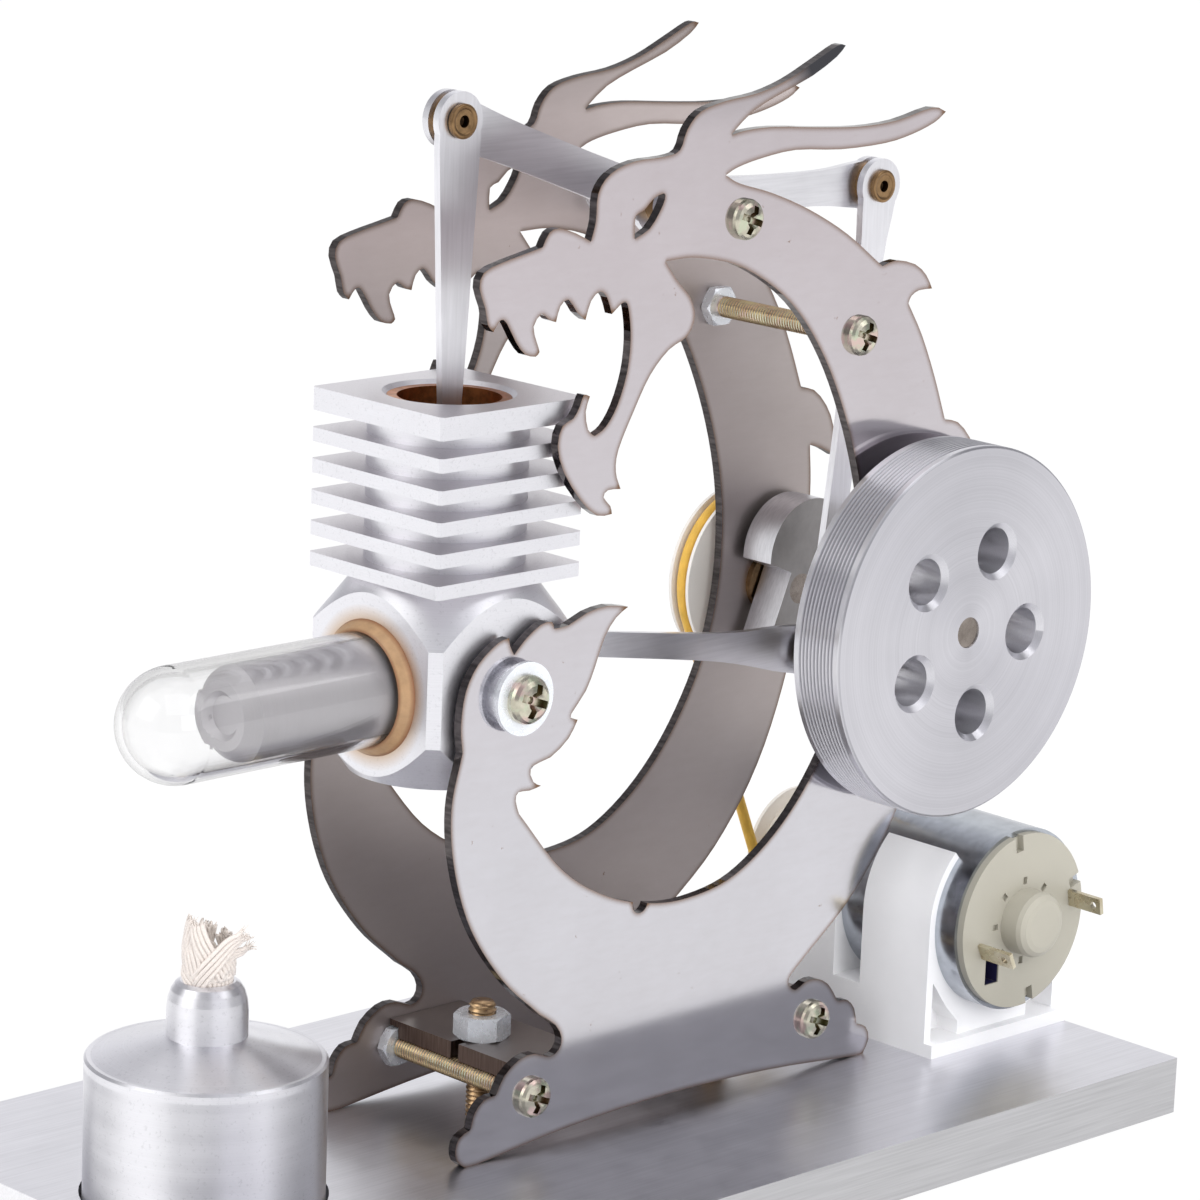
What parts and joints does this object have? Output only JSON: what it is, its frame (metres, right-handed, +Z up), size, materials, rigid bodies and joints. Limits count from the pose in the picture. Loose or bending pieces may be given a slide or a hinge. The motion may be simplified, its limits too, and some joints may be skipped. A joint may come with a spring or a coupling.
{
  "type": "stirling engine",
  "caption": "Desktop hot-air engine: dragon-shaped plates on a flat base carry a finned cylinder, glass hot tube, rocking beam, crank, flywheel and belt-driven motor, with a spirit burner.",
  "frame": {"origin": "middle of the base plate's underside", "axes": "+Z up, +X along the base from the burner to the motor, +Y away from the flywheel side"},
  "size_m": [0.149, 0.08, 0.14],
  "materials": {
    "base_aluminium": "satin",
    "turned_aluminium": "satin",
    "burner_aluminium": "satin",
    "plate_steel": "satin",
    "clear_glass": "gloss",
    "amber_sealant": "satin",
    "liner_bronze": "satin",
    "brass": "satin",
    "yellow_zinc": "satin",
    "clear_zinc": "satin",
    "strip_steel": "satin",
    "shaft_steel": "satin",
    "piston_steel": "satin",
    "motor_steel": "satin",
    "cream_plastic": "satin",
    "white_plastic": "satin",
    "tinned_metal": "satin",
    "ferrite": "matte",
    "armature_copper": "satin",
    "belt_rubber": "satin",
    "cotton_wick": "matte"
  },
  "bodies": {
    "frame": {"base_plate": "base_aluminium", "front_plate": "plate_steel", "rear_plate": "plate_steel", "cylinder_block": "turned_aluminium", "cylinder_liner": "liner_bronze", "glass_tube": "clear_glass", "tube_seal": "amber_sealant", "guide_bush": "brass", "block_screws": "yellow_zinc", "block_washers": "clear_zinc", "lock_washers": "clear_zinc", "spacer_washers": "clear_zinc", "pivot_screw": "yellow_zinc", "pivot_spacers": "turned_aluminium", "tie_screws": "yellow_zinc", "frame_nuts": "clear_zinc", "clamp_strips": "strip_steel", "hold_down_studs": "yellow_zinc", "hold_down_nuts": "clear_zinc", "front_bearing": "brass", "rear_bearing": "brass", "motor_can": "motor_steel", "motor_cap": "cream_plastic", "motor_terminals": "tinned_metal", "motor_magnets": "ferrite", "motor_bracket": "white_plastic", "bracket_screws": "yellow_zinc", "drive_belt": "belt_rubber"},
    "crank": {"flywheel": "turned_aluminium", "front_shaft": "shaft_steel", "rear_shaft": "shaft_steel", "front_web": "turned_aluminium", "rear_web": "turned_aluminium", "crank_pin": "shaft_steel", "drive_pulley": "white_plastic"},
    "beam_rod": {"beam_rod": "turned_aluminium", "beam_rod_bushes": "brass"},
    "displacer_link": {"displacer_link": "turned_aluminium", "displacer_link_bushes": "brass"},
    "rocker": {"rocker_beam": "turned_aluminium", "rocker_bush": "brass", "rocker_rivets": "brass"},
    "power_rod": {"power_rod": "turned_aluminium"},
    "piston": {"power_piston": "piston_steel", "wrist_pin": "shaft_steel"},
    "displacer": {"displacer": "piston_steel", "displacer_rod": "shaft_steel", "displacer_rivet": "brass"},
    "rotor": {"motor_armature": "armature_copper", "motor_shaft": "shaft_steel", "motor_pulley": "white_plastic"},
    "burner": {"burner_cup": "burner_aluminium", "burner_lid": "burner_aluminium", "burner_wick": "cotton_wick"}
  },
  "joints": [
    {"name": "crank_spin", "type": "hinge", "parent": "frame", "child": "crank", "pos_m": [0.0472, 0, 0.0654], "axis": [0, 1, 0], "continuous": true},
    {"name": "beam_rod_pivot", "type": "hinge", "parent": "crank", "child": "beam_rod", "pos_m": [0.04435, 0, 0.05846], "axis": [0, 1, 0], "continuous": true},
    {"name": "displacer_link_pivot", "type": "hinge", "parent": "crank", "child": "displacer_link", "pos_m": [0.04435, 0, 0.05846], "axis": [0, 1, 0], "continuous": true},
    {"name": "rotor_spin", "type": "hinge", "parent": "frame", "child": "rotor", "pos_m": [0.0612, 0, 0.0247], "axis": [0, 1, 0], "continuous": true},
    {"name": "rocker_swing", "type": "hinge", "parent": "frame", "child": "rocker", "pos_m": [0.01355, 0, 0.1197], "axis": [0, 1, 0], "range_deg": [-20.8, 0.8]},
    {"name": "power_rod_pivot", "type": "hinge", "parent": "rocker", "child": "power_rod", "pos_m": [-0.02175, 0, 0.1324], "axis": [0, 1, 0], "range_deg": [-0.7, 17.2]},
    {"name": "piston_slide", "type": "slide", "parent": "frame", "child": "piston", "axis": [0, 0, 1], "range_m": [-0.0133, 0.0006]},
    {"name": "displacer_slide", "type": "slide", "parent": "frame", "child": "displacer", "axis": [1, 0, 0], "range_m": [-0.0046, 0.0103]},
    {"name": "burner_lift", "type": "slide", "parent": "frame", "child": "burner", "axis": [0, 0, 1], "range_m": [0, 0.01]}
  ],
  "couplings": [
    {"joint": "beam_rod_pivot", "follows": "crank_spin", "ratio": -1},
    {"joint": "displacer_link_pivot", "follows": "crank_spin", "ratio": -1},
    {"joint": "rotor_spin", "follows": "crank_spin", "ratio": 1.4151},
    {"joint": "power_rod_pivot", "follows": "rocker_swing", "ratio": -0.822},
    {"joint": "piston_slide", "follows": "rocker_swing", "m_per_rad": 0.0362}
  ]
}
